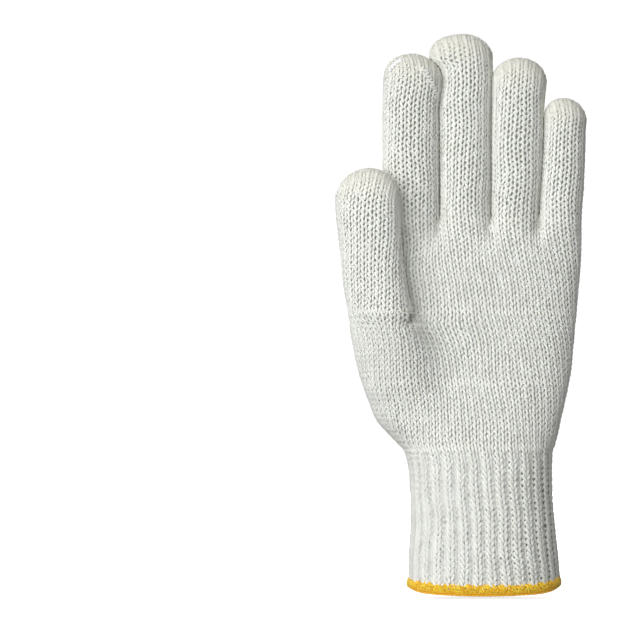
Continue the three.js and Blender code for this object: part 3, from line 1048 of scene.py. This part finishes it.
for name, digit in DIGITS.items():
    skin, courses = digit_skin(digit, SPLIT_HEIGHT if name == "thumb" else FINGER_BASE)
    sewn = {"yarn": Yarn(), "thread": Yarn()}
    for piece, kind, *stitch in STITCHES:
        if piece == name:
            lay_stitches(sewn[kind], skin, *stitch)
    if sewn["thread"].count:
        make_piece(name + "_tack", sewn["thread"], thread, [name])
    if name == "thumb":
        skin = ByCourse(skin, 0, 1, thumb_twist)
    near_tip = tip_share(digit["rows"][-1, 0] + digit["tip"]["rise"])
    start = 0.5 if name in ("middle_finger", "ring_finger") else 0.0
    yarn = sewn["yarn"]
    for course in range(courses):
        lay_course(yarn, skin, course, start, start + digit["wales"] - 1, tip=near_tip)
    lay_nap(yarn, skin, 0, courses, digit["wales"], tip=near_tip)
    make_piece(name + "_knit", yarn, cotton, [name])


def wrist_skin(high, wales, inset=CLOTH_INSET):
    """The wrist's tube. Its edge rises at both sides and turns up at its ends, less and less higher up."""
    skin = tube_skin(CUFF, HAND_SQUARE, 0.0, high, wales, inset)
    z = skin.points[..., 2]
    fade = np.clip(1 - z / RISE_REACH, 0, None)
    across = np.abs(skin.points[..., 0] / CUFF[0, 3])
    z += (SIDE_RISE * across**2 + END_RISE * across**10) * fade
    return skin


cuff_skin = ByCourse(wrist_skin(70.0, CUFF_WALES), CUFF_BASE, (CUFF_TOP - CUFF_BASE) / CUFF_COURSES)
cuff_yarn = Yarn()
for course in range(CUFF_COURSES):
    lay_course(cuff_yarn, cuff_skin, course, 0, CUFF_WALES - 1, True)
lay_nap(cuff_yarn, cuff_skin, 0, CUFF_COURSES, CUFF_WALES, True)
make_piece("cuff_knit", cuff_yarn, cotton, ["cuff"])


def lay_hem(yarn):
    """The overlock: two fine yarns wound over the edge, slanting against each other, and a chain under it.

    One wrap goes out by cos t and up by sin t, in a flattened oval. It slants along the edge with sin t.
    Its reach up the cuff differs from wrap to wrap, which makes the ragged upper edge. The chain swings
    along the edge with sin 2t, outwards with cos 2t and up and down with cos t.
    """
    steps, top, middle, reach_down = 12, 12.0, 2.8, 1.95
    for wraps, slant, radius, out_by, up_by in OVERLOCK:
        t = np.arange(wraps * steps) / steps
        turn = TAU * t
        stitch = np.floor(t).astype(int)
        loose = random.normal(0, 1, (wraps, 2))[stitch]
        wrap = t + slant * np.sin(turn) + 0.15 * loose[:, 0]
        point, out = surface(wrist_skin(top, wraps), wrap, np.full(len(t), middle))
        rise = up_by + 0.35 * loose[:, 1]
        path = point + out * (out_by * np.cos(turn))[:, None]
        path[:, 2] += np.where(np.sin(turn) > 0, rise, reach_down) * np.sin(turn)
        # Some wraps are darker at random; the lower part of each wrap, under the edge, gets painted shade
        shade = 0.7 * random.random(wraps)[stitch] ** 3 + 0.6 * (1 - smooth(path[:, 2], 0.6, 1.5))
        yarn.add(path, out, radius, tint=np.clip(shade, 0, 1))

    # The chain under the edge gets painted shade
    loops, height, inset, radius, shade = 105, 1.3, -0.5, 0.36, 0.6
    t = np.arange(loops * steps) / steps
    swing = 0.28 * np.sin(2 * TAU * t)
    point, out = surface(wrist_skin(top, loops, inset), t + swing, np.full(len(t), height))
    path = point + out * (0.25 + 0.2 * np.cos(2 * TAU * t))[:, None]
    path[:, 2] -= 0.5 * np.cos(TAU * t)
    yarn.add(path, out, radius, tint=shade)


hem_yarn = Yarn()
lay_hem(hem_yarn)
make_piece("hem_overlock", hem_yarn, edging, ["hem"])


def area_light(name, place, size, watts):
    """A white lamp of this width and height that looks at the middle of the glove."""
    light = bpy.data.lights.new(name, "AREA")
    light.shape = "RECTANGLE"
    light.size, light.size_y = size
    light.energy = watts
    light.color = linear("#FFFFFF")[:3]
    lamp = new_object(name, light)
    lamp.location = place
    direction = Vector(np.subtract((0, 0, 0.12), place))
    lamp.rotation_euler = direction.to_track_quat("-Z", "Y").to_euler()
    return lamp


def studio():
    """A pale floor with a wall all round, turned from one profile, a large soft key and a rear fill.

    The profile runs out along the floor, up a quarter circle, and on up the wall.
    """
    columns, floor_reach, bend, wall_top, below = 48, 5, 1.2, 9.0, 0.0008
    angle = np.linspace(0, TAU / 4, 9)
    out = np.concatenate([[0.3, 2.0], floor_reach + bend * np.sin(angle), [floor_reach + bend]])
    up = np.concatenate([[0, 0], bend - bend * np.cos(angle), [wall_top]]) - below
    turn = np.arange(columns) / columns * TAU
    rise = np.broadcast_to(up[:, None], (len(up), columns))
    grid = np.stack([out[:, None] * np.cos(turn), out[:, None] * np.sin(turn), rise], -1)
    points = [(0.0, 0.0, float(up[0]))] + grid.reshape(-1, 3).tolist()
    steps = [(j, (j + 1) % columns) for j in range(columns)]
    faces = [(0, 1 + j, 1 + k) for j, k in steps]
    for near in range(1, 1 + columns * (len(out) - 1), columns):
        far = near + columns
        faces += [(near + j, far + j, far + k, near + k) for j, k in steps]
    mesh = bpy.data.meshes.new("pale_floor")
    mesh.from_pydata(points, [], faces)
    mesh.polygons.foreach_set("use_smooth", np.ones(len(faces), bool))
    floor = new_object("pale_floor", mesh)
    paper = bpy.data.materials.new("white_backdrop_paper")
    paper.use_nodes = True
    shader = paper.node_tree.nodes["Principled BSDF"]
    shader.inputs["Base Color"].default_value = linear("#F6F6F4")
    shader.inputs["Roughness"].default_value = 0.9
    shader.inputs["Emission Color"].default_value = linear("#FFFFFF")
    shader.inputs["Emission Strength"].default_value = 0.8
    mesh.materials.append(paper)
    # The paper is only a ground to be seen against. It throws no light back on the cotton.
    floor.visible_diffuse = False
    floor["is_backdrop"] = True
    area_light("key", (-0.78, -1.6, 0.4), (2.2, 2.0), 61)
    area_light("rear_fill", (0, 2.4, 0.3), (1.2, 1.2), 30).visible_camera = False
    world = bpy.data.worlds.new("studio")
    bpy.context.scene.world = world
    world.use_nodes = True
    sky = world.node_tree.nodes["Background"]
    sky.inputs["Color"].default_value = linear("#FFFFFF")
    sky.inputs["Strength"].default_value = 0.205
    bpy.context.scene.view_settings.view_transform = "Standard"


# The photograph's frame: 630 pixels a side, the glove 562 of them high, its wrist's middle at 483, 596
PHOTO_SIDE = 630
GLOVE_PIXELS = 562
WRIST_PIXEL = (483, 596)
CAMERA_DISTANCE = 4.0
SENSOR = 36


def camera():
    """Level with the middle of the photograph, far off, so that the glove fills the same pixels."""
    metres = CAD_BOX[1].z / GLOVE_PIXELS
    data = bpy.data.cameras.new("camera")
    data.sensor_width = SENSOR
    data.lens = SENSOR * CAMERA_DISTANCE / (PHOTO_SIDE * metres)
    data.clip_start, data.clip_end = 0.05, 20
    eye = new_object("camera", data)
    across = (PHOTO_SIDE / 2 - WRIST_PIXEL[0]) * metres
    height = (WRIST_PIXEL[1] - PHOTO_SIDE / 2) * metres
    eye.location = (across, -CAMERA_DISTANCE, height)
    eye.rotation_euler = (TAU / 4, 0, 0)
    bpy.context.scene.camera = eye


studio()
camera()

boxes = {"cad": CAD_BOX, "visual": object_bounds()}
{name: [list(corner) for corner in box] for name, box in boxes.items()}
